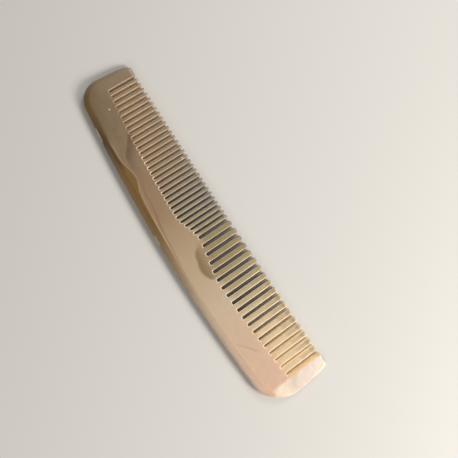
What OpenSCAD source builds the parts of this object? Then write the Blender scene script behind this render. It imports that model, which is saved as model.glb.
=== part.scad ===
// A dressing comb cut from one plate of blond horn: fine teeth on one half, coarse teeth
// on the other, a long curved back and a solid guard at each end.
// X runs along the comb to its coarse end, Y runs to the tooth tips, Z is up.
// It lies on one face; the origin is the middle of its box, at the height it rests on.

/* [Plate] */
// Length over both ends
comb_l = 178; // [176:1:200]
// Width from the lowest point of the back to the coarse tips
comb_w = 37.5; // [36:0.5:41]
// Radius of the long curve of the back
back_r = 770; // [600:10:1200]
// Where the back is lowest, measured from the middle towards the coarse end
belly_x = 26; // [0:1:40]
// How far the fine tips stand back from the coarse end's tips
tip_rise = 1.4; // [0.5:0.1:3]

/* [Section] */
// Thickness at the back
back_t = 5; // [4.8:0.1:5.6]
// Thickness at the tips
tip_t = 3; // [2.6:0.1:3.4]
// Width of the rounded band along the back and the ends
band_w = 3.8; // [3.2:0.1:4.2]
// Angle of the crease between the faces and that band
crease = 12; // [8:1:14]
// Radius of the band's outer edge
rim_r = 1.4; // [1.1:0.1:1.6]

/* [Ends] */
// Lean of the fine end towards the tips
fine_lean = 4; // [2:0.5:6]
// Lean of the coarse end towards the tips
coarse_lean = 3.5; // [2:0.5:7]
// Corner between the back and the fine end
fine_corner_r = 11; // [8:0.5:14]
// Corner between the back and the coarse end
coarse_corner_r = 16.5; // [12:0.5:17]
// Radius of the curve that brings each end in towards the tips
guard_r = 16; // [12:1:20]
// How far that curve has turned where the line of the tips cuts it off
guard_turn = 26; // [20:1:30]
// Thickness that the flat bevel leaves at the coarse end
bevel_t = 1; // [0.6:0.1:2]

/* [Teeth] */
// Fine teeth
fine_teeth = 30; // [24:1:30]
// Coarse teeth
coarse_teeth = 18; // [14:1:18]
// Spacing of the fine teeth
fine_pitch = 2.68; // [2.5:0.02:2.7]
// Spacing of the coarse teeth
coarse_pitch = 4.36; // [4:0.02:4.4]
// Width of a fine slot
fine_slot = 1.15; // [0.8:0.05:1.3]
// Width of a coarse slot
coarse_slot = 1.6; // [1.2:0.1:2]
// Middle of the last fine tooth, where the two sets meet
divide_x = -1.72; // [-2.5:0.02:0]

/* [Roots] */
// Radius of the arc that the slots end on
root_arc_r = 630; // [500:10:900]
// Where that arc is lowest
root_arc_x = 12; // [0:1:20]
// Height of its lowest point above the back's lowest point
root_deep = 13.9; // [13:0.1:16]
// How much shorter the fine slots get where the two sets meet
fine_lift = 3.6; // [0:0.1:5]
// Distance over which the fine slots shorten
fine_reach = 13; // [8:1:30]
// How much shorter the coarse slots get where the two sets meet
coarse_lift = 4.2; // [0:0.1:5]
// Distance over which the coarse slots shorten
coarse_reach = 28; // [15:1:40]

/* [Hidden] */
$fn = 96;
arc_fn = 180;
back_fn = 16 * arc_fn;
spare = 3;
waste_w = 12;
slot_land = 1.2;
tip_round = 0.45;
core_lap = 1;
// How far a straight edge cuts inside the corner circles that it joins
over = 0.1;
// Directions that the back's slice spans, and how far a corner's slice runs past its ends
back_span = [258, 282];
slice_lap = 15;
// How far a guard's waste runs on past the line of the tips
guard_lap = 12;

taper = atan((back_t - tip_t) / 2 / comb_w);
mean_t = (back_t + tip_t) / 2;
function half_t(y) = mean_t / 2 - y * tan(taper);
function aim(a) = [cos(a), sin(a)];

fine_tooth = fine_pitch - fine_slot;
coarse_tooth = coarse_pitch - coarse_slot;
fine_xs = [for (i = [0:fine_teeth - 1]) divide_x - (i + 0.5) * fine_pitch];
first_coarse_x = divide_x + (fine_tooth + coarse_slot) / 2;
coarse_xs = [for (i = [0:coarse_teeth]) first_coarse_x + i * coarse_pitch];

back_y = -comb_w / 2;
back_c = [belly_x, back_y + back_r];
// The fine tips lie on a line along X, and the coarse tips climb from its end
tips_meet = [first_coarse_x, comb_w / 2 - tip_rise];
tip_climb = atan(tip_rise / (comb_l / 2 - first_coarse_x));
function tip_y(x) = tips_meet.y + max(0, x - tips_meet.x) * tan(tip_climb);

// Centre of the corner circle that joins the back's curve and reaches the end at x = end_x
function corner_c(end_x, r) =
    let (x = end_x - sign(end_x) * r)
    [x, back_c.y - sqrt(pow(back_r - r + over, 2) - pow(x - back_c.x, 2))];
fine_c = corner_c(-comb_l / 2, fine_corner_r);
coarse_c = corner_c(comb_l / 2, coarse_corner_r);

// Directions that the ends and the tip lines face, and those where the corners meet the back
fine_face = 180 - fine_lean;
coarse_face = coarse_lean;
fine_tip_face = 90;
coarse_tip_face = 90 + tip_climb;
back_from = atan2(fine_c.y - back_c.y, fine_c.x - back_c.x) + 360;
back_to = atan2(coarse_c.y - back_c.y, coarse_c.x - back_c.x) + 360;

// Centre of a guard's curve. It joins the end, which faces a and also joins the circle (c, r).
// Its point that faces e lies on the tip line, which faces b.
function guard_c(c, r, a, e, b) =
    let (g = guard_r, p = c + (r - g) * aim(a), s = aim(a + sign(e - a) * 90))
    p + s * ((tips_meet - p - g * aim(e)) * aim(b) / (s * aim(b)));
fine_end_turn = fine_face - guard_turn;
coarse_end_turn = coarse_face + guard_turn;
fine_guard = guard_c(fine_c, fine_corner_r, fine_face, fine_end_turn, fine_tip_face);
coarse_guard = guard_c(coarse_c, coarse_corner_r, coarse_face, coarse_end_turn, coarse_tip_face);

function ease(u) = u > 1 ? 0 : (1 + cos(180 * u)) / 2;
function lift(x) = x < divide_x
    ? fine_lift * ease((divide_x - x) / fine_reach)
    : coarse_lift * ease((x - divide_x) / coarse_reach);
function root_y(x) = back_y + root_deep + lift(x)
    + root_arc_r - sqrt(pow(root_arc_r, 2) - pow(x - root_arc_x, 2));

// The flat bevel starts just outside the last slot
bevel_x = coarse_xs[coarse_teeth] + coarse_slot / 2 + slot_land;
bevel_slope = atan((mean_t - bevel_t) / 2 / (comb_l / 2 - bevel_x));
// Middle of the comb's width
mid_y = (back_y + coarse_guard.y + guard_r * sin(coarse_end_turn)) / 2;

// Section of the plate out to an edge at x = r: two shallow arcs that a round rim joins
module section(r) {
    h = back_t / 2;
    run = band_w - rim_r;
    arc_r = (run * run + h * h - rim_r * rim_r)
        / (2 * (h * cos(crease) - rim_r - run * sin(crease)));
    arc_c = [r - band_w - arc_r * sin(crease), h - arc_r * cos(crease)];
    rim_c = [r - rim_r, 0];
    joint = (rim_c - arc_c) / norm(rim_c - arc_c);
    inner = max(arc_c.x, r / 6);
    intersection() {
        translate(arc_c) circle(arc_r, $fn = arc_fn);
        translate([arc_c.x, -arc_c.y]) circle(arc_r, $fn = arc_fn);
        translate([inner, -back_t]) square([rim_c.x + rim_r * joint.x - inner, 2 * back_t]);
    }
    translate(rim_c) circle(rim_r);
    translate([0, -back_t]) square([inner + core_lap, 2 * back_t]);
}

// A slice of a round plate with that section, over the directions from a to b
module slice(c, r, a, b) {
    translate([c.x, c.y, 0]) rotate([0, 0, a])
        rotate_extrude(angle = b - a, $fn = r > comb_l ? back_fn : arc_fn) section(r);
}

// What a straight edge of length l leaves outside it. Its middle is at p and it faces a.
module straight_waste(p, a, l) {
    translate([p.x, p.y, 0]) rotate([90, 0, a]) linear_extrude(l, center = true) difference() {
        translate([-band_w, -back_t]) square([band_w + waste_w, 2 * back_t]);
        translate([-band_w - spare, 0]) section(band_w + spare);
    }
}

// What the corner circle (c, r) leaves outside it, between edges that face a and b
module corner_waste(c, r, a, b) {
    difference() {
        linear_extrude(1.5 * back_t, center = true) polygon([
            c, c + 2 * r * aim(a), c + 3 * r * aim((a + b) / 2), c + 2 * r * aim(b)
        ]);
        slice(c, r, a - slice_lap, b + slice_lap);
    }
}

// The two faces, which close in towards the tips
module faces() {
    y = comb_w / 2 + spare;
    rotate([90, 0, 90]) linear_extrude(comb_l + 2 * spare, center = true)
        polygon([[-y, -half_t(-y)], [y, -half_t(y)], [y, half_t(y)], [-y, half_t(-y)]]);
}

// One slot with a round root, seen from above
module slot(x, w) {
    y = root_y(x) + w / 2;
    translate([x - w / 2, y]) square([w, comb_w]);
    translate([x, y]) circle(d = w);
}

// What the round tip of a tooth of width w leaves outside it, seen from above
module tip_waste(x, w) {
    r = tip_round * w;
    y = tip_y(x) - r;
    difference() {
        translate([x - w / 2 - fine_slot / 4, y]) square([w + fine_slot / 2, r + spare]);
        translate([x - w / 2 + r, y]) circle(r);
        translate([x + w / 2 - r, y]) circle(r);
        translate([x - w / 2 + r, y]) square([w - 2 * r, r]);
    }
}

// All that is cut away between the teeth, seen from above
module gaps() {
    for (x = fine_xs) slot(x, fine_slot);
    for (x = coarse_xs) slot(x, coarse_slot);
    for (i = [0:fine_teeth - 1]) tip_waste(divide_x - i * fine_pitch, fine_tooth);
    for (i = [0:coarse_teeth - 1])
        tip_waste(first_coarse_x + (i + 0.5) * coarse_pitch, coarse_tooth);
}

// The flat bevel on one face of the coarse guard
module bevel_waste() {
    translate([bevel_x, 0, half_t(0)]) rotate([-taper, bevel_slope, 0])
        translate([-spare, -comb_w, 0]) cube([comb_l / 4, 2 * comb_w, back_t]);
}

// The plate with its straight edges cut
module edged() {
    fine_end = fine_c + (fine_corner_r - over) * aim(fine_face);
    coarse_end = coarse_c + (coarse_corner_r - over) * aim(coarse_face);
    difference() {
        intersection() {
            slice(back_c, back_r, back_span[0], back_span[1]);
            faces();
        }
        straight_waste(fine_end, fine_face, 2 * comb_w);
        straight_waste(coarse_end, coarse_face, 2 * comb_w);
        straight_waste(tips_meet - comb_l / 2 * aim(0), fine_tip_face, comb_l);
        straight_waste(tips_meet + comb_l / 2 * aim(tip_climb), coarse_tip_face, comb_l);
    }
}

// The plate with its corners cut too
module cornered() {
    difference() {
        edged();
        corner_waste(fine_c, fine_corner_r, fine_face, back_from);
        corner_waste(coarse_c, coarse_corner_r, back_to, coarse_face + 360);
        corner_waste(fine_guard, guard_r, fine_end_turn - guard_lap, fine_face);
        corner_waste(coarse_guard, guard_r, coarse_face, coarse_end_turn + guard_lap);
    }
}

// The finished outside, before the teeth are sawn
module bevelled() {
    difference() {
        cornered();
        bevel_waste();
        mirror([0, 0, 1]) bevel_waste();
    }
}

module comb() {
    color("#c8ab82") translate([0, 0, half_t(mid_y) * cos(taper)]) rotate([-taper, 0, 0])
        translate([0, -mid_y, 0]) difference() {
            bevelled();
            linear_extrude(2 * back_t, center = true) gaps();
        }
}

comb();
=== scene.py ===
from math import atan, cos, radians, sin, sqrt, tan

import bmesh
import bpy
from bpy.props import FloatProperty, FloatVectorProperty, IntProperty, PointerProperty
from mathutils import Matrix, Vector


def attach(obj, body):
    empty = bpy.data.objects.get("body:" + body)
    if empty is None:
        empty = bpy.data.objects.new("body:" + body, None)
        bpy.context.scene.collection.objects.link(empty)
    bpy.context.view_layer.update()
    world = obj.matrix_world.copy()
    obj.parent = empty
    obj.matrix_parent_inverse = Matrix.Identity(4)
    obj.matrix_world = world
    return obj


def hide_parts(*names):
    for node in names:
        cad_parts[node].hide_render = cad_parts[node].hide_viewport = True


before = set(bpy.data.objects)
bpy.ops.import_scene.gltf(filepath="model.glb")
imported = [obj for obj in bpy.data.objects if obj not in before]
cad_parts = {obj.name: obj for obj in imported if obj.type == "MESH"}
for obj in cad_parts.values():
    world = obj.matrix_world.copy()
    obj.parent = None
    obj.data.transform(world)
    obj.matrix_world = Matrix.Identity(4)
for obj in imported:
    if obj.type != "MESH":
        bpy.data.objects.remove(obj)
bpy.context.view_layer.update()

bl_info = {
    "name": "Horn Comb",
    "version": (1, 0, 0),
    "blender": (4, 5, 0),
    "location": "View3D > Sidebar > Horn Comb",
    "description": "Makes a two-pitch dressing comb of blond horn, and a small studio for it",
    "category": "Add Mesh",
}

MM = 0.001
UP = Vector((0, 0, 1))
ALONG = Vector((1, 0, 0))
BLACK = (0, 0, 0, 1)


# The comb's sizes and colours

def length(name, mm, description):
    return FloatProperty(name=name, description=description, default=mm * MM, unit="LENGTH")


def angle(name, value, description):
    return FloatProperty(
        name=name, description=description, default=radians(value), unit="ROTATION"
    )


def count(name, value, description):
    return IntProperty(name=name, description=description, default=value, min=1)


def share(name, value, description):
    return FloatProperty(
        name=name, description=description, default=value, min=0, max=1, subtype="FACTOR"
    )


def colour(name, value, description):
    """A colour as a paint program shows it, kept as the linear values that a shader takes."""
    linear = [((c + 0.055) / 1.055) ** 2.4 if c > 0.04045 else c / 12.92 for c in value]
    return FloatVectorProperty(
        name=name, description=description, default=linear, size=3, min=0, max=1,
        subtype="COLOR",
    )


class PlateSizes(bpy.types.PropertyGroup):
    """The plate that the comb is cut from"""

    length: length("Length", 178, "Length over both ends")
    width: length("Width", 37.5, "Width from the lowest point of the back to the coarse tips")
    back_radius: length("Back radius", 770, "Radius of the back's long curve")
    belly: length("Belly", 26, "Where the back is lowest, from the middle")
    tip_rise: length("Tip rise", 1.4, "How far the fine tips stand back from the coarse ones")
    back_thick: length("Back thickness", 5, "Thickness at the back")
    tip_thick: length("Tip thickness", 3, "Thickness at the tips")
    band: length("Band", 3.8, "Width of the rounded band around the plate")
    crease: angle("Crease", 12, "Angle between the faces and the band")
    rim: length("Rim radius", 1.4, "Radius of the plate's outer edge")
    fine_lean: angle("Fine lean", 4, "Lean of the fine end")
    coarse_lean: angle("Coarse lean", 3.5, "Lean of the coarse end")
    fine_corner: length("Fine corner", 10.9, "Corner between the back and the fine end")
    coarse_corner: length("Coarse corner", 16.4, "Corner between the back and the coarse end")
    guard_curve: length("Guard curve", 15.9, "Radius that brings each end in towards the tips")
    guard_turn: angle("Guard turn", 26, "How far that curve turns before the tips' line cuts it")
    facet_thick: length("Facet edge", 1, "Thickness that the facet leaves at the coarse end")
    facet_start: length("Facet start", 1.2, "Flat left between the last slot and the facet")


class ToothSizes(bpy.types.PropertyGroup):
    """The two sets of teeth"""

    fine_teeth: count("Fine teeth", 30, "Number of fine teeth")
    coarse_teeth: count("Coarse teeth", 18, "Number of coarse teeth")
    fine_pitch: length("Fine pitch", 2.68, "Spacing of the fine teeth")
    coarse_pitch: length("Coarse pitch", 4.36, "Spacing of the coarse teeth")
    fine_slot: length("Fine slot", 1.15, "Width of a fine slot")
    coarse_slot: length("Coarse slot", 1.6, "Width of a coarse slot")
    divide: length("Divide", -1.72, "Middle of the last fine tooth")
    root_radius: length("Root line radius", 630, "Radius of the arc that the slots end on")
    root_middle: length("Root line middle", 12, "Where that arc is lowest")
    root_depth: length("Root line depth", 13.9, "Its lowest point, above the back's")
    fine_lift: length("Fine lift", 3.6, "How much the fine slots shorten where the sets meet")
    fine_reach: length("Fine reach", 13, "Distance over which they shorten")
    coarse_lift: length("Coarse lift", 4.2, "How much the coarse slots shorten there")
    coarse_reach: length("Coarse reach", 28, "Distance over which they shorten")
    tip_round: share("Tip rounding", 0.45, "Radius of a tip's corners, as a share of its width")
    root_round: share("Root rounding", 0.3, "Radius of a root's corners, as a share of its width")
    soft_edge: length("Soft edge", 0.43, "Width of the rounding along a slot's rim")


class HornColours(bpy.types.PropertyGroup):
    """The horn's colours, from its brown end to its pale one, and the painted light and shade
    among them
    """

    smoky: colour("Smoky", (0.52, 0.44, 0.33), "The plate at its brown end")
    dusk: colour("Dusk", (0.55, 0.47, 0.36), "The plate beside the first fine teeth")
    tan: colour("Tan", (0.63, 0.52, 0.41), "The plate under the fine teeth")
    fawn: colour("Fawn", (0.72, 0.63, 0.51), "The middle of the plate")
    honey: colour("Honey", (0.80, 0.72, 0.62), "The plate under the coarse teeth")
    blush: colour("Blush", (0.84, 0.71, 0.61), "The plate at its pale end")
    amber: colour("Amber", (0.51, 0.385, 0.18), "The clear zone along the back")
    umber: colour("Umber", (0.33, 0.25, 0.14), "The darkest part of that zone")
    smoke: colour("Smoke", (0.45, 0.36, 0.26), "The clouds in the brown half")
    olive: colour("Olive", (0.48, 0.39, 0.23), "The stain under the first coarse teeth")
    pale: colour("Pale", (0.80, 0.71, 0.58), "The thin lines of light horn")
    fine_gold: colour("Fine gold", (0.605, 0.51, 0.39), "The fine teeth")
    grey_gold: colour("Grey gold", (0.60, 0.55, 0.46), "The last fine teeth")
    mid_gold: colour("Middle gold", (0.61, 0.55, 0.41), "The teeth where the sets meet")
    coarse_gold: colour("Coarse gold", (0.83, 0.75, 0.62), "The last coarse teeth")
    tip: colour("Tip", (0.67, 0.60, 0.46), "The clear ends of the teeth")
    # Cream is partly the horn's lighter thin edges and partly painted highlight, on the rims,
    # crowns and facet
    cream: colour("Cream", (0.98, 0.92, 0.81), "The thin rims of the teeth")
    cap: colour("Cap", (0.48, 0.46, 0.45), "The greyish crowns of the teeth")
    orange: colour("Orange", (0.87, 0.73, 0.53), "The warm strip beside the last slot")
    facet: colour("Facet", (0.765, 0.70, 0.635), "The flat facet of the pale end")
    ash: colour("Ash", (0.66, 0.58, 0.48), "The guard and the edge of the brown end")
    # Painted shade: the dark brown of the middle slots' walls stands in for their shade
    sawn: colour("Sawn", (0.24, 0.15, 0.08), "The walls of the middle slots")
    # Painted light: the light walls near both ends stand in for light that comes through the horn
    glow: colour("Glow", (0.96, 0.86, 0.70), "The walls of the slots near both ends")


def own_keys(group):
    """The names of a group's own sizes or colours"""
    return [key for key in group.bl_rna.properties.keys() if key not in ("rna_type", "name")]


# The comb's lines, seen from above

# How much the creases beside the facet and along the band are softened
FACET_SOFT, BAND_SOFT = 0.13 * MM, 0.03 * MM


def aim(turn):
    return Vector((cos(turn), sin(turn)))


class CombLines:
    """The comb's outline and heights in its own middle plane, worked out from the sizes"""

    def __init__(self, plate, teeth):
        self.plate, self.teeth = plate, teeth
        p, t = plate, teeth
        self.half = p.back_thick / 2
        self.taper = atan((p.back_thick - p.tip_thick) / 2 / p.width)
        self.back_y = -p.width / 2
        self.back_centre = Vector((p.belly, self.back_y + p.back_radius))

        fine_tooth = t.fine_pitch - t.fine_slot
        coarse_tooth = t.coarse_pitch - t.coarse_slot
        first = t.divide + (fine_tooth + t.coarse_slot) / 2
        self.slots = [
            (t.divide - (i + 0.5) * t.fine_pitch, t.fine_slot) for i in range(t.fine_teeth)
        ] + [(first + i * t.coarse_pitch, t.coarse_slot) for i in range(t.coarse_teeth + 1)]
        self.slots.sort()
        self.tooth_rows = [
            (t.divide - i * t.fine_pitch, fine_tooth) for i in range(t.fine_teeth)
        ] + [(first + (i + 0.5) * t.coarse_pitch, coarse_tooth) for i in range(t.coarse_teeth)]
        self.tooth_rows.sort()

        self.tips_meet = Vector((first, p.width / 2 - p.tip_rise))
        self.climb = atan(p.tip_rise / (p.length / 2 - first))
        self.fine_face = radians(180) - p.fine_lean
        self.coarse_face = p.coarse_lean
        self.fine_tips = radians(90)
        self.coarse_tips = radians(90) + self.climb
        self.fine_centre = self.corner_centre(-p.length / 2, p.fine_corner)
        self.coarse_centre = self.corner_centre(p.length / 2, p.coarse_corner)
        self.fine_turn = self.fine_face - p.guard_turn
        self.coarse_turn = self.coarse_face + p.guard_turn
        self.fine_guard = self.guard_centre(
            self.fine_centre, p.fine_corner, self.fine_face, -1, self.fine_turn, self.fine_tips
        )
        self.coarse_guard = self.guard_centre(
            self.coarse_centre, p.coarse_corner, self.coarse_face, 1, self.coarse_turn,
            self.coarse_tips,
        )
        self.facet_x = self.slots[-1][0] + t.coarse_slot / 2 + p.facet_start
        mean = (p.back_thick + p.tip_thick) / 4
        self.facet_slope = atan(
            (mean - p.facet_thick / 2) / (p.length / 2 - self.facet_x)
        )
        self.mean_half = mean

        h, run = self.half, p.band - p.rim
        self.arc = (run * run + h * h - p.rim * p.rim) / (
            2 * (h * cos(p.crease) - p.rim - run * sin(p.crease))
        )
        self.arc_in = p.band + self.arc * sin(p.crease)
        self.arc_low = h - self.arc * cos(p.crease)
        self.joint = p.rim * (1 - (self.arc_in - p.rim) / (self.arc - p.rim))

    def corner_centre(self, end_x, radius):
        over = 0.1 * MM
        x = end_x - (radius + over) * (1 if end_x > 0 else -1)
        reach = self.plate.back_radius - radius
        return Vector((x, self.back_centre.y - sqrt(reach ** 2 - (x - self.back_centre.x) ** 2)))

    def guard_centre(self, centre, radius, end_face, side, cut_face, tips_face):
        """Centre of a guard's curve, whose point that faces cut_face is on the line of tips"""
        g = self.plate.guard_curve
        start = centre + (radius - g) * aim(end_face)
        step = aim(end_face + side * radians(90))
        rise = (self.tips_meet - start - g * aim(cut_face)).dot(aim(tips_face))
        return start + step * (rise / step.dot(aim(tips_face)))

    def face_half(self, y):
        """Half of the thickness between the two flat faces"""
        return self.mean_half - y * tan(self.taper)

    def band_half(self, run):
        """Half of the thickness that the rounded edge leaves, at a distance from the edge"""
        rim = self.plate.rim
        if run < self.joint:
            return sqrt(max(0, rim ** 2 - (rim - run) ** 2))
        return self.arc_low + sqrt(self.arc ** 2 - (self.arc_in - run) ** 2)

    def facet_half(self, x, y):
        slope = tan(self.facet_slope) * (x - self.facet_x)
        return self.mean_half - slope - y * tan(self.taper) / cos(self.facet_slope)

    def half_thick(self, x, y, run):
        flat = ease_min(self.face_half(y), self.facet_half(x, y), FACET_SOFT)
        return ease_min(flat, self.band_half(run), BAND_SOFT)

    def root_y(self, x):
        t = self.teeth
        if x < t.divide:
            lift = t.fine_lift * ease((t.divide - x) / t.fine_reach)
        else:
            lift = t.coarse_lift * ease((x - t.divide) / t.coarse_reach)
        sag = t.root_radius - sqrt(t.root_radius ** 2 - (x - t.root_middle) ** 2)
        return self.back_y + t.root_depth + lift + sag


def ease(u):
    return 0 if u > 1 else (1 + cos(radians(180) * u)) / 2


def ease_min(a, b, soft):
    """The smaller of two heights, with the crease between them softened"""
    near = max(0, soft - abs(a - b)) / soft
    return min(a, b) - near * near * soft / 4


# The comb's mesh

# Steps along the back, its two corners, a guard's curve and a slot's root
BACK_STEPS, COARSE_STEPS, FINE_STEPS, GUARD_STEPS, ROOT_CUTS = 110, 22, 18, 12, 13
# Where the rings lie: at these degrees of the rim's arc, then this far apart across the band
RIM_TURNS = (15, 29, 43)
BAND_STEP = 0.33 * MM
# Cuts on both sides of the facet's start, in millimetres from it
FACET_GUIDES = (-0.7, -0.35, 0, 0.35, 0.7)
# A corner under this angle takes in the points beside it that come this near
SHARP = radians(150)
CORNER_REACH = 0.3 * MM
TOUCHING = 1e-7


class Pen:
    """Draws an outline in a bmesh, one line or arc after another"""

    def __init__(self, bm, start):
        self.bm = bm
        self.at = bm.verts.new((start.x, start.y, 0))

    def line(self, point):
        made = bmesh.ops.extrude_vert_indiv(self.bm, verts=[self.at])
        self.at = made["verts"][0]
        self.at.co = (point.x, point.y, 0)

    def arc(self, centre, turn, steps):
        made = bmesh.ops.spin(
            self.bm, geom=[self.at], cent=(centre.x, centre.y, 0), axis=UP,
            angle=turn, steps=steps, use_duplicate=False,
        )
        self.at = next(g for g in made["geom_last"] if isinstance(g, bmesh.types.BMVert))


def draw_plate(bm, lines):
    """The plate's outline as one flat face"""
    p = lines.plate
    centre = lines.back_centre
    down = Vector((0, -1))
    turn_from = down.angle_signed(lines.fine_centre - centre)
    turn_to = down.angle_signed(lines.coarse_centre - centre)
    back_from = radians(270) - turn_from
    back_to = radians(270) - turn_to
    pen = Pen(bm, centre + p.back_radius * aim(back_from))
    pen.arc(centre, back_to - back_from, BACK_STEPS)
    pen.arc(lines.coarse_centre, radians(360) + lines.coarse_face - back_to, COARSE_STEPS)
    pen.line(lines.coarse_guard + p.guard_curve * aim(lines.coarse_face))
    pen.arc(lines.coarse_guard, p.guard_turn, GUARD_STEPS)
    pen.line(lines.tips_meet)
    pen.line(lines.fine_guard + p.guard_curve * aim(lines.fine_turn))
    pen.arc(lines.fine_guard, p.guard_turn, GUARD_STEPS)
    pen.line(lines.fine_centre + p.fine_corner * aim(lines.fine_face))
    pen.arc(lines.fine_centre, back_from - lines.fine_face, FINE_STEPS)
    bmesh.ops.remove_doubles(bm, verts=bm.verts, dist=TOUCHING)
    made = bmesh.ops.contextual_create(bm, geom=bm.edges[:])
    return made["faces"][0]


def ring_runs(lines):
    """How far inside the edge each ring of the rounded band lies"""
    rim = lines.plate.rim
    runs = [rim * (1 - cos(radians(a))) for a in RIM_TURNS] + [lines.joint]
    while runs[-1] < lines.plate.band:
        runs.append(runs[-1] + BAND_STEP)
    return runs


def inset_rings(bm, core, lines):
    """Rings inside the outline, each of which knows how far it lies from the edge"""
    edge_run = bm.verts.layers.float.new("edge_run")
    done = 0
    for run in ring_runs(lines):
        bmesh.ops.inset_region(
            bm, faces=[core], thickness=run - done, depth=0, use_even_offset=True,
            use_boundary=True,
        )
        for v in core.verts:
            v[edge_run] = run
        join_corners(bm, core)
        core = max(bm.faces, key=lambda f: f.calc_area())
        done = run
    return edge_run


def join_corners(bm, core):
    """Joins each sharp corner with the points that it has come close to"""
    for corner in [loop for loop in core.loops if loop.calc_angle() < SHARP]:
        beside = [corner.link_loop_prev.vert, corner.link_loop_next.vert]
        near = [v for v in beside if (v.co - corner.vert.co).length < CORNER_REACH]
        if near:
            bmesh.ops.pointmerge(bm, verts=[corner.vert] + near, merge_co=corner.vert.co)
            return join_corners(bm, max(bm.faces, key=lambda f: f.calc_area()))


def cut(bm, faces, point, normal):
    """Cuts these faces along a plane, and gives the edges that lie in it"""
    geom = set(faces)
    for f in faces:
        geom.update(f.edges)
        geom.update(f.verts)
    made = bmesh.ops.bisect_plane(
        bm, geom=list(geom), dist=1e-8, plane_co=point, plane_no=normal
    )
    return [g for g in made["geom_cut"] if isinstance(g, bmesh.types.BMEdge)]


def saw_slot(bm, lines, x, width):
    """Saws one slot out of the flat plate. Its root is flat between two rounded corners."""
    high = lines.tips_meet.y - 1.5 * lines.plate.band
    radius = lines.teeth.root_round * width
    root = lines.root_y(x) + radius
    for side in (x - width / 2, x + width / 2):
        reached = [f for f in bm.faces if max(v.co.y for v in f.verts) > high]
        cut(bm, reached, (side, 0, 0), ALONG)
    strip = [f for f in bm.faces if abs(f.calc_center_median().x - x) < width / 2
             and max(v.co.y for v in f.verts) > high]
    body = max(strip, key=lambda f: f.calc_area())
    floor = cut(bm, [body], (0, root, 0), (0, 1, 0))
    gone = [f for f in bm.faces if abs(f.calc_center_median().x - x) < width / 2
            and f.calc_center_median().y > root]
    bmesh.ops.delete(bm, geom=gone, context="FACES")
    made = bmesh.ops.subdivide_edges(bm, edges=floor, cuts=ROOT_CUTS)
    flat = width / 2 - radius
    whole = flat + radius * radians(90)
    for v in made["geom_inner"]:
        if isinstance(v, bmesh.types.BMVert):
            across = (v.co.x - x) / (width / 2)
            path = whole * abs(across)
            turn = max(0, path - flat) / radius
            side = 1 if across > 0 else -1
            v.co.x = x + side * (min(path, flat) + radius * sin(turn))
            v.co.y = root - radius * cos(turn)


def saw_teeth(bm, lines):
    for x, width in lines.slots:
        saw_slot(bm, lines, x, width)
    long_edge = 3 * MM
    guides = [e for e in bm.edges if len(e.link_faces) == 2 and e.calc_length() > long_edge
              and abs(e.verts[0].co.x - e.verts[1].co.x) < TOUCHING]
    bmesh.ops.dissolve_edges(bm, edges=guides, use_verts=True)
    for x, width in lines.tooth_rows:
        cut(bm, bm.faces[:], (x, 0, 0), ALONG)
    for step in FACET_GUIDES:
        cut(bm, bm.faces[:], (lines.facet_x + step * MM, 0, 0), ALONG)


def round_slots(bm, lines, edge_run):
    """Rounds the rims of the slots on both faces of the thick plate"""
    rims = []
    for e in bm.edges:
        if len(e.link_faces) == 2:
            walls = [f for f in e.link_faces if abs(f.normal.z) < 0.5]
            if len(walls) == 1 and max(v[edge_run] for v in walls[0].verts) > TOUCHING:
                rims.append(e)
    bmesh.ops.bevel(
        bm, geom=rims, offset=lines.teeth.soft_edge, offset_type="OFFSET", segments=3,
        profile=0.5, affect="EDGES", material=-1, clamp_overlap=False,
    )


def shape_heights(bm, lines, edge_run):
    """Gives each point its height, and remembers how deep in a slot it lies"""
    slot_depth = bm.verts.layers.float.new("slot_depth")
    for v in bm.verts:
        part = v.co.z / lines.half
        v[slot_depth] = part
        v.co.z = part * lines.half_thick(v.co.x, v.co.y, v[edge_run])


def round_tips(bm, lines, edge_run):
    """Narrows each tooth towards its end, so that the tip is round seen from above.
    Each point of a tooth remembers where it lies across it (-1 to 1)."""
    tooth_side = bm.verts.layers.float.new("tooth_side")
    for x, width in lines.tooth_rows:
        radius = lines.teeth.tip_round * width
        for v in [v for v in bm.verts if abs(v.co.x - x) < width / 2 + TOUCHING
                  and v.co.y > lines.root_y(x) + width]:
            side = (v.co.x - x) / (width / 2)
            v[tooth_side] = side
            run = v[edge_run]
            if run < radius:
                half = width / 2 - radius + sqrt(radius ** 2 - (radius - run) ** 2)
                v.co.x = x + side * half


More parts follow.
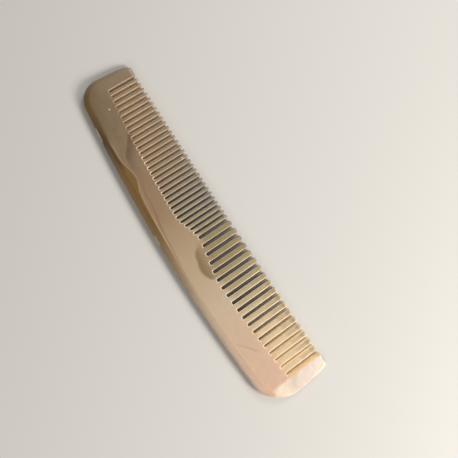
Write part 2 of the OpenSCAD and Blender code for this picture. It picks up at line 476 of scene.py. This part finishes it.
def make_comb(plate, teeth):
    lines = CombLines(plate, teeth)
    bm = bmesh.new()
    core = draw_plate(bm, lines)
    edge_run = inset_rings(bm, core, lines)
    saw_teeth(bm, lines)
    made = bmesh.ops.extrude_face_region(bm, geom=bm.faces[:])
    raised = [g for g in made["geom"] if isinstance(g, bmesh.types.BMVert)]
    bmesh.ops.translate(bm, verts=bm.verts, vec=-lines.half * UP)
    bmesh.ops.translate(bm, verts=raised, vec=2 * lines.half * UP)
    bmesh.ops.recalc_face_normals(bm, faces=bm.faces)
    round_slots(bm, lines, edge_run)
    shape_heights(bm, lines, edge_run)
    round_tips(bm, lines, edge_run)
    outer = [v for v in bm.verts if v[edge_run] < TOUCHING]
    bmesh.ops.remove_doubles(bm, verts=outer, dist=TOUCHING)
    bmesh.ops.dissolve_degenerate(bm, edges=bm.edges, dist=1e-8)
    bmesh.ops.recalc_face_normals(bm, faces=bm.faces)

    mid_y = (lines.back_y + lines.coarse_guard.y + plate.guard_curve * sin(lines.coarse_turn)) / 2
    lift = lines.face_half(mid_y) * cos(lines.taper)
    place = (Matrix.Translation(lift * UP) @ Matrix.Rotation(-lines.taper, 4, "X")
             @ Matrix.Translation((0, -mid_y, 0)))
    bmesh.ops.transform(bm, matrix=place, verts=bm.verts)
    for f in bm.faces:
        f.smooth = True
    mesh = bpy.data.meshes.new("horn_comb")
    bm.to_mesh(mesh)
    bm.free()
    comb = bpy.data.objects.new("horn_comb", mesh)
    bpy.context.scene.collection.objects.link(comb)
    steady = comb.modifiers.new("Steady the faces", "WEIGHTED_NORMAL")
    steady.weight = 50
    return comb


# Shader maths

class Value:
    """A socket of a material. Arithmetic on it adds Math nodes."""

    def __init__(self, finish, socket):
        self.finish, self.socket = finish, socket

    def maths(self, operation, a, b=0.0):
        return self.finish.node("ShaderNodeMath", {"operation": operation}, {0: a, 1: b})

    def __add__(self, other):
        return self.maths("ADD", self, other)

    def __radd__(self, other):
        return self.maths("ADD", other, self)

    def __sub__(self, other):
        return self.maths("SUBTRACT", self, other)

    def __rsub__(self, other):
        return self.maths("SUBTRACT", other, self)

    def __mul__(self, other):
        return self.maths("MULTIPLY", self, other)

    def __rmul__(self, other):
        return self.maths("MULTIPLY", other, self)

    def __truediv__(self, other):
        return self.maths("DIVIDE", self, other)

    def __abs__(self):
        return self.maths("ABSOLUTE", self)


class Finish:
    """One material and the nodes that are added to it"""

    def __init__(self, name):
        self.material = bpy.data.materials.new(name)
        self.material.use_nodes = True
        self.tree = self.material.node_tree
        self.tree.nodes.clear()

    def node(self, kind, settings=None, inputs=None, output=0):
        made = self.tree.nodes.new(kind)
        for key, value in (settings or {}).items():
            if key == "stops":
                set_stops(made.color_ramp, value)
            else:
                setattr(made, key, value)
        for key, value in (inputs or {}).items():
            if isinstance(value, Value):
                self.tree.links.new(value.socket, made.inputs[key])
            else:
                made.inputs[key].default_value = value
        return Value(self, made.outputs[output])

    def step(self, value, start, end):
        """0 before start, 1 after end, and a smooth rise between them"""
        return self.node(
            "ShaderNodeMapRange", {"interpolation_type": "SMOOTHSTEP"},
            {"Value": value, "From Min": start, "From Max": end, "To Min": 0.0, "To Max": 1.0},
        )

    def between(self, value, rise, fall):
        """1 between a rise and a fall, each of which is a (start, end) pair"""
        return self.step(value, *rise) * self.step(value, *fall)

    def mix(self, part, a, b, blend="MIX"):
        """Colour a, turned into colour b by that part"""
        return self.node(
            "ShaderNodeMix", {"data_type": "RGBA", "blend_type": blend},
            {0: part, 6: a, 7: b}, output=2,
        )

    def noise(self, at, scale, detail=3.0, roughness=0.5):
        return self.node(
            "ShaderNodeTexNoise", None,
            {"Vector": at, "Scale": scale, "Detail": detail, "Roughness": roughness},
        )

    def line(self, x, points):
        """The height at x of a line drawn through these (x, y) points"""
        start, end = points[0][0], points[-1][0]
        low = min(y for _, y in points)
        span = max(y for _, y in points) - low
        part = self.node(
            "ShaderNodeMapRange", None, {"Value": x, "From Min": start, "From Max": end}
        )
        stops = [((at - start) / (end - start), ((y - low) / span,) * 3) for at, y in points]
        drawn = self.node("ShaderNodeValToRGB", {"stops": ("CARDINAL", stops)}, {"Fac": part})
        return drawn * span + low

    def fleck(self, x, y, at_x, at_y, size):
        """A small round mark"""
        far = (x - at_x) * (x - at_x) + (y - at_y) * (y - at_y)
        return self.step(far, size * size, size * size * 0.2)

    def surface(self, shader):
        end = self.tree.nodes.new("ShaderNodeOutputMaterial")
        self.tree.links.new(shader.socket, end.inputs["Surface"])
        return self.material


def set_stops(ramp, value):
    """The ramp's interpolation and its (place, colour) stops"""
    ramp.interpolation, stops = value
    while len(ramp.elements) < len(stops):
        ramp.elements.new(1.0)
    for element, (place, shade) in zip(ramp.elements, stops):
        element.position = place
        element.color = (*shade, 1.0)


def rgb(shade):
    return (*shade, 1.0)


# The horn. Its figure is drawn by places along the comb (X) and across it (Y), in millimetres.
# A pair of places is where a mark starts to show and where it shows in full.

TONES_END = 90
# These tones of the plate and the teeth are partly the horn's own, partly painted light: lighter
# towards the pale end, which stronger light fell on
PLATE_TONES = (
    (-84, "smoky"), (-68, "dusk"), (-26, "tan"), (2, "fawn"), (36, "honey"), (76, "blush"),
)
TOOTH_TONES = (
    (-80, "fine_gold"), (-45, "fine_gold"), (-14, "grey_gold"), (2, "mid_gold"),
    (14, "mid_gold"), (54, "coarse_gold"),
)
AMBER_TOP = (
    (-90, -6.0), (-80, -8.3), (-70, -9.5), (-62, -10.8), (-55, -11.5), (-50, -11.5), (-46, -10.6),
    (-41, -9.8), (-38, -10.3), (-35, -11.6), (-30, -12.7), (-20, -13.7), (-10, -14.4),
    (0, -15.1), (10, -16.0), (30, -16.7), (90, -17.0),
)
DARK_LINE = (
    (-44, -6.5), (-35, -8.8), (-31, -10.1), (-27, -10.3), (-23.5, -10.6), (-19, -11.3),
    (-15, -12.3), (-10, -13.1), (-5.5, -13.6), (0, -14.2), (9, -15.2), (20, -15.8), (30, -16.4),
)
OLIVE_LOW = (
    (0, -2.0), (3.8, -4.9), (5.8, -6.5), (9.8, -7.6), (12.8, -8.5), (15.5, -8.3), (17.8, -7.4),
    (20, -6.0), (23, -3.0),
)
# The lowest root, then where the marks lie: (x, y), and (x, y, size) or (x, half length)
ROOTS_LOW = -5.1
SMUDGE_AT, SMUDGE_LEAN = (-59.6, -1.5), 1.23
SCRATCH_AT, SCRATCH_RISE = (61.0, -6.0), 0.82
CORNER_MARK_X = -83.3
FLECKS = ((-73.5, -2.4, 0.48), (-36.5, 14.3, 0.5))
EDGE_SPOTS = ((-66.0, 4.5), (-10.0, 3.5))
# Where the colours of the teeth and of the slots' walls start and stop along the comb
TEETH_ENDS = ((-82.0, -80.2), (79.3, 78.0))
SLOTS_ENDS = ((-82.6, -80.2), (79.6, 78.4))


class Horn(Finish):
    """The horn's material. Each method paints one part of its figure, or painted light and shade,
    over those before it.
    """

    def __init__(self, colours, teeth):
        super().__init__("blond_horn")
        self.shades = {key: rgb(getattr(colours, key)) for key in own_keys(colours)}
        here = self.node("ShaderNodeTexCoord", output="Object")
        mm = self.node("ShaderNodeVectorMath", {"operation": "SCALE"}, {0: here, "Scale": 1 / MM})
        self.mm = mm
        self.x = self.node("ShaderNodeSeparateXYZ", None, {0: mm}, output="X")
        self.y = self.node("ShaderNodeSeparateXYZ", None, {0: mm}, output="Y")
        self.depth = abs(self.remembered("slot_depth"))
        self.run = self.remembered("edge_run") / MM
        self.side = self.remembered("tooth_side")

        self.drift = self.noise(mm, 0.03, 2.0) - 0.5
        self.wander = self.noise(mm, 0.16) - 0.5
        long_way = self.node("ShaderNodeMapping", None, {"Vector": mm, "Scale": (0.12, 1, 1)})
        cross_way = self.node("ShaderNodeMapping", None, {"Vector": mm, "Scale": (1, 0.16, 1)})
        self.grain = self.noise(long_way, 0.9, 5.0, 0.62) - 0.5
        self.fibre = self.noise(cross_way, 0.55, 4.0, 0.6) - 0.5
        self.mottle = self.noise(mm, 0.9, 4.0, 0.6) - 0.5

        self.above_roots = self.y - self.root_line(teeth)
        on_teeth = self.step(self.above_roots + self.wander * 2.0, 0.6, 4.0)
        self.on_teeth = on_teeth * self.between(self.x, *TEETH_ENDS)
        self.near_tips = self.step(self.y, 8, 11)

    def remembered(self, name):
        """A number that the mesh's points remember"""
        return self.node("ShaderNodeAttribute", {"attribute_name": name}, output="Fac")

    def root_line(self, teeth):
        """The line that the slots end on, which rises where the two sets meet"""
        divide, away = teeth.divide / MM, self.x - teeth.root_middle / MM
        fine, coarse = teeth.fine_reach / MM, teeth.coarse_reach / MM
        middle = self.between(self.x, (divide - fine, divide), (divide + coarse, divide))
        lift = (teeth.fine_lift + teeth.coarse_lift) / 2 / MM
        return away * away / (2 * teeth.root_radius / MM) + middle * lift + ROOTS_LOW

    def tones(self, place, stops):
        """Colours that change along the comb"""
        part = self.node(
            "ShaderNodeMapRange", None,
            {"Value": place, "From Min": -TONES_END, "From Max": TONES_END},
        )
        stops = [((at + TONES_END) / (2 * TONES_END), self.shades[key][:3]) for at, key in stops]
        return self.node("ShaderNodeValToRGB", {"stops": ("LINEAR", stops)}, {"Fac": part})

    def blend(self, part, a, b):
        return self.mix(part, self.shades[a], self.shades[b])

    def paint(self, part, shade):
        """Paints that part of the surface with a named or mixed colour"""
        mixed = shade if isinstance(shade, Value) else self.shades[shade]
        self.skin = self.mix(part, self.skin, mixed)

    def plate(self):
        """The plate's tones from its brown end to its pale one, with a cloud and two marks"""
        x, y, wander = self.x, self.y, self.wander
        self.skin = self.tones(x + self.drift * 16 + wander * 6, PLATE_TONES)
        cloud = self.step(self.noise(self.mm, 0.11), 0.5, 0.68) * self.step(x, -30, -52)
        self.paint(cloud * 0.3, "smoke")

        at_x, at_y = SMUDGE_AT
        across = x - at_x + (y - at_y) * SMUDGE_LEAN + wander * 1.2
        smudge = self.between(across, (-0.2, 0.9), (9.5, 1.5))
        self.paint(smudge * self.between(y, (-9.4, -7.6), (1.0, -1.2)) * 0.8, "smoke")

        at_x, at_y = SCRATCH_AT
        off = abs(y - at_y - (x - at_x) * SCRATCH_RISE + wander * 0.8)
        scratch = self.step(off, 0.75, 0.1) * self.between(x, (50.5, 53.0), (62.0, 59.5))
        self.paint(scratch * 0.24, "olive")

    def back(self):
        """The clear amber zone along the back, with the pale and dark lines above it"""
        x, y, wander = self.x, self.y, self.wander
        above = y - (self.line(x + wander * 1.5, AMBER_TOP) + wander * 0.5)
        blur = 0.22 + self.step(x, -56, -66) * 1.2 + self.step(x, -8, 25) * 0.5
        strength = 0.96 - self.step(x, -20, 4) * 0.55 - self.step(x, 0, 40) * 0.38
        # Darker towards the brown end: partly the zone's own colour, partly painted shade
        dim = self.step(x + self.drift * 12, -46, -55) * self.step(x, -76, -62) * 0.85
        amber = self.step(above / blur, 1, -1)
        self.paint(amber * strength, self.blend(dim, "amber", "umber"))

        pale = self.between(above, (0.1, 0.35), (0.95, 0.45))
        self.paint(pale * self.between(x, (-62, -54), (16, -6)) * 0.3, "pale")

        below = y - self.line(x + wander, DARK_LINE) - wander * 0.3
        thick = 0.35 + self.between(x, (-26, -18), (-9, -15)) * 0.5
        dark = self.step(below, 0.35, 0) * self.step(below + thick, -0.25, 0.2)
        self.paint(dark * self.between(x, (-42, -33), (20, 0)) * 0.5, "amber")

    def brown_end(self):
        """The mark in the brown corner, and the lighter guard and edge"""
        x, y = self.x, self.y
        corner = self.step(abs(x - CORNER_MARK_X + self.wander * 1.5), 1.8, 0.4)
        self.paint(corner * self.between(y, (-11, -8), (-2.2, -4.5)) * 0.55, "amber")
        edge = self.step(self.run, 2.6, 0.6)
        back_edge = edge * self.between(x, (-66, -50), (12, -4)) * self.step(y, -8, -12)
        self.paint(back_edge * 0.5, "fine_gold")
        guard = edge * self.step(y, -11, -4) * 0.4 + self.step(y, -6, 1) * 0.36
        self.paint(guard * self.step(x, -76, -84), "ash")
        low = self.step(y, -4.5, -7.5) * self.step(x, -58, -68)
        self.paint(low * 0.3, "smoke")

    def stain(self):
        """The olive stain under the first coarse teeth"""
        over = self.y - self.line(self.x + self.wander, OLIVE_LOW)
        stain = self.step(over, -0.7, 0.9) * self.between(self.x, (0.5, 5.0), (22.5, 18.5))
        self.paint(stain * (0.35 + self.step(self.y, -2, -7) * 0.4), "olive")

    def teeth(self):
        """The teeth, with the clear horn inside their ends"""
        self.paint(self.on_teeth, self.tones(self.x + self.fibre * 10, TOOTH_TONES))
        inside = self.step(self.run, 5.4, 2.4) * self.step(abs(self.side), 1.0, 0.5)
        core = inside * self.near_tips * self.on_teeth
        clear = self.blend(self.step(self.x, -14, 8), "cap", "tip")
        self.paint(core * (0.4 + self.step(self.x, 12, 45) * 0.55), clear)

    def pale_end(self):
        """The warm strip beside the last slot, and the facet with its clearer shoulder. The
        facet's pale cream is partly painted highlight.
        """
        x, y = self.x, self.y
        strip = self.step(x + self.wander * 0.6, 78.6, 79.2) * self.step(x, 80.9, 80.0)
        self.paint(strip * self.step(y, -3, 2) * 0.7, "orange")
        # The facet's pale colour, turning cream towards the back, is partly painted highlight
        facet = self.step(x + self.wander * 0.8, 80.0, 81.4)
        facet = facet * self.step(y + (x - 80) * 0.9, -9.5, -7.5)
        self.paint(facet * 0.85, self.blend(self.step(y, 1, -7) * 0.45, "facet", "cream"))
        shoulder = self.step(self.run, 2.8, 1.4) * self.step(y, 12, 15) * self.step(x, 78.6, 80.0)
        self.paint(shoulder * 0.7, "tip")

    def crowns(self):
        """The crowns of the teeth: partly their greyish clear horn, partly painted highlight on
        the rounded tips, which turns them cream towards the coarse end
        """
        crown = self.step(self.run + self.wander * 0.4, 1.6, 0.8) * self.near_tips
        grey = self.blend(0.14 + self.step(self.x, 10, 50) * 0.36, "cap", "cream")
        self.paint(crown * 0.85, grey)

    def flecks(self):
        """The light flecks, and the bright places on the edge of the back"""
        for at_x, at_y, size in FLECKS:
            self.paint(self.fleck(self.x, self.y, at_x, at_y, size) * 0.8, "cream")
        edge = self.step(self.run, 0.7, 0.35) * self.step(self.y, -9, -11)
        # Cream along two short stretches of the back's edge
        for at_x, half in EDGE_SPOTS:
            spot = self.step(abs(self.x - at_x), half, half - 2.0)
            self.paint(spot * edge * 0.4, "cream")

    def speckle(self):
        """The fine grain, which darkens and lightens everything painted so far"""
        part = 1.0 + self.grain * 0.09 + self.fibre * 0.2 * self.on_teeth + self.mottle * 0.1
        shade = self.node("ShaderNodeCombineColor", None, {0: part, 1: part, 2: part})
        self.skin = self.mix(1.0, self.skin, shade, "MULTIPLY")

    def rims(self):
        """The light rims of the slots: partly the horn's lighter thin edges, partly painted
        highlight, brightest at their roots and on the coarse teeth
        """
        rim = self.step(self.depth, 0.999, 0.985) * self.step(self.y, 16.0, 14.5)
        coarse = self.step(self.x, -5, 45)
        # Painted highlight: brighter on the coarse teeth, most on the side of each that faces the
        # light, and at the roots
        bright = 0.15 + coarse * (0.2 + self.step(self.side, 0.3, 0.8) * 0.5)
        at_root = self.step(self.above_roots, 1.3, 0.5) * self.step(self.x, -62, -40)
        bright = bright + at_root * (0.9 - bright)
        self.paint(rim * bright, "cream")

    def walls(self):
        """The walls of the slots: dark with painted shade in the middle of the comb, lighter with
        painted light towards both ends.
        Gives how much of a wall each point is."""
        wall = self.step(self.depth, 0.9, 0.7) * self.between(self.x, *SLOTS_ENDS)
        middle = self.between(self.x, (-46, -14), (64, 34))
        # Painted shade on the walls in the middle, painted light towards both ends
        self.paint(wall * (0.35 + middle * 0.45), self.blend(middle, "glow", "sawn"))
        return wall

    def finished(self):
        """Paints everything and gives the material"""
        for layer in (self.plate, self.back, self.brown_end, self.stain, self.teeth,
                      self.pale_end, self.crowns, self.flecks, self.speckle, self.rims):
            layer()
        wall = self.walls()
        # Light that comes through the horn is stood in for by a weak glow of the walls
        through = self.step(self.x, -14, -62) * 0.06 + self.step(self.x, 52, 78) * 0.24
        glow = self.mix(wall * through, BLACK, self.shades["glow"])
        height = self.grain * 0.2 + self.mottle * 0.3 + self.noise(self.mm, 0.22, 2.0) * 2.5
        bump = self.node(
            "ShaderNodeBump", None, {"Strength": 0.35, "Distance": 0.0002, "Height": height}
        )
        shader = self.node(
            "ShaderNodeBsdfPrincipled", None,
            {"Base Color": self.skin, "Roughness": 0.34 + self.mottle * 0.1 + wall * 0.25,
             "Normal": bump, "IOR": 1.54, "Coat Weight": 0.12, "Coat Roughness": 0.18,
             "Subsurface Weight": 0.85, "Subsurface Radius": (1.0, 0.82, 0.66),
             "Subsurface Scale": 0.004, "Emission Color": glow, "Emission Strength": 1.0},
        )
        return self.surface(shader)


def floor_finish():
    f = Finish("pale_paper")
    shader = f.node(
        "ShaderNodeBsdfPrincipled", None, {"Base Color": (0.68, 0.66, 0.625, 1), "Roughness": 0.9}
    )
    return f.surface(shader)


# The studio. Each light has its place, the point it aims at (metres), its size, watts and tint.

LIGHTS = (
    ("key_light", (0.46, 0.27, 0.36), (0.05, 0, 0), 0.24, 3.5, (1, 0.97, 0.93)),
    ("fill_light", (-0.2, 0.36, 0.36), (0, 0, 0), 0.25, 0.9, (1, 0.98, 0.95)),
    ("back_light", (0.35, -0.45, 0.4), (0.03, 0, 0), 0.3, 0.9, (1, 0.98, 0.96)),
)
AIR_TINT, AIR_STRENGTH = (1, 0.98, 0.95, 1), 0.26
FLOOR_HALF = 1.5

# The camera's eye in millimetres, where it looks, and how far clockwise from the picture's
# right the comb's coarse end points
EYE = (-10.3, -34.2, 268.5)
FORWARD = (0.0537, 0.1796, -0.9823)
COMB_TURN = radians(56.84)
SENSOR, FOCAL_PIXELS, PICTURE_PIXELS = 36, 560, 458


def soft_light(name, at, towards, size, power, tint):
    light = bpy.data.lights.new(name, "AREA")
    light.shape = "RECTANGLE"
    light.size = light.size_y = size
    light.energy = power
    light.color = tint
    lamp = bpy.data.objects.new(name, light)
    bpy.context.scene.collection.objects.link(lamp)
    lamp.location = at
    lamp.rotation_euler = (Vector(towards) - Vector(at)).to_track_quat("-Z", "Y").to_euler()


class HORN_OT_comb(bpy.types.Operator):
    """Make the comb"""

    bl_idname = "horn.comb"
    bl_label = "Make the comb"

    def execute(self, context):
        scene = context.scene
        comb = make_comb(scene.horn_plate, scene.horn_teeth)
        horn = Horn(scene.horn_colours, scene.horn_teeth)
        comb.data.materials.append(horn.finished())
        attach(comb, "root")
        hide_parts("comb")
        return {"FINISHED"}


class HORN_OT_stage(bpy.types.Operator):
    """Make the floor, the lights and the camera"""

    bl_idname = "horn.stage"
    bl_label = "Make the stage"

    def execute(self, context):
        scene = context.scene
        scene.view_settings.view_transform = "Standard"
        bm = bmesh.new()
        bmesh.ops.create_grid(bm, x_segments=8, y_segments=8, size=FLOOR_HALF)
        mesh = bpy.data.meshes.new("stage_floor")
        bm.to_mesh(mesh)
        bm.free()
        floor = bpy.data.objects.new("stage_floor", mesh)
        scene.collection.objects.link(floor)
        mesh.materials.append(floor_finish())

        world = bpy.data.worlds.new("studio_air")
        scene.world = world
        world.use_nodes = True
        air = world.node_tree.nodes["Background"].inputs
        air["Color"].default_value = AIR_TINT
        air["Strength"].default_value = AIR_STRENGTH

        for light in LIGHTS:
            soft_light(*light)

        forward = Vector(FORWARD).normalized()
        side = (ALONG - forward * ALONG.dot(forward)).normalized()
        right = side * cos(COMB_TURN) + side.cross(forward) * sin(COMB_TURN)
        axes = Matrix((right, right.cross(forward), -forward)).transposed().to_4x4()
        camera = bpy.data.cameras.new("camera")
        camera.sensor_width = SENSOR
        camera.lens = SENSOR * FOCAL_PIXELS / PICTURE_PIXELS
        eye = bpy.data.objects.new("camera", camera)
        eye.matrix_world = Matrix.Translation(Vector(EYE) * MM) @ axes
        scene.collection.objects.link(eye)
        scene.camera = eye
        return {"FINISHED"}


class HORN_PT_panel(bpy.types.Panel):
    """The comb's sizes and colours, and the buttons that make it"""

    bl_idname = "HORN_PT_panel"
    bl_label = "Horn Comb"
    bl_space_type = "VIEW_3D"
    bl_region_type = "UI"
    bl_category = "Horn Comb"

    def draw(self, context):
        scene = context.scene
        for group in (scene.horn_plate, scene.horn_teeth, scene.horn_colours):
            box = self.layout.box()
            for key in own_keys(group):
                box.prop(group, key)
        for operator in OPERATORS:
            self.layout.operator(operator.bl_idname)


GROUPS = {"horn_plate": PlateSizes, "horn_teeth": ToothSizes, "horn_colours": HornColours}
OPERATORS = (HORN_OT_comb, HORN_OT_stage)


def register():
    for kind in (*GROUPS.values(), *OPERATORS, HORN_PT_panel):
        bpy.utils.register_class(kind)
    for name, kind in GROUPS.items():
        setattr(bpy.types.Scene, name, PointerProperty(type=kind))


def unregister():
    for name in GROUPS:
        delattr(bpy.types.Scene, name)
    for kind in (HORN_PT_panel, *OPERATORS, *GROUPS.values()):
        bpy.utils.unregister_class(kind)


def main():
    register()
    bpy.ops.horn.comb()
    bpy.ops.horn.stage()


if __name__ == "__main__":
    main()
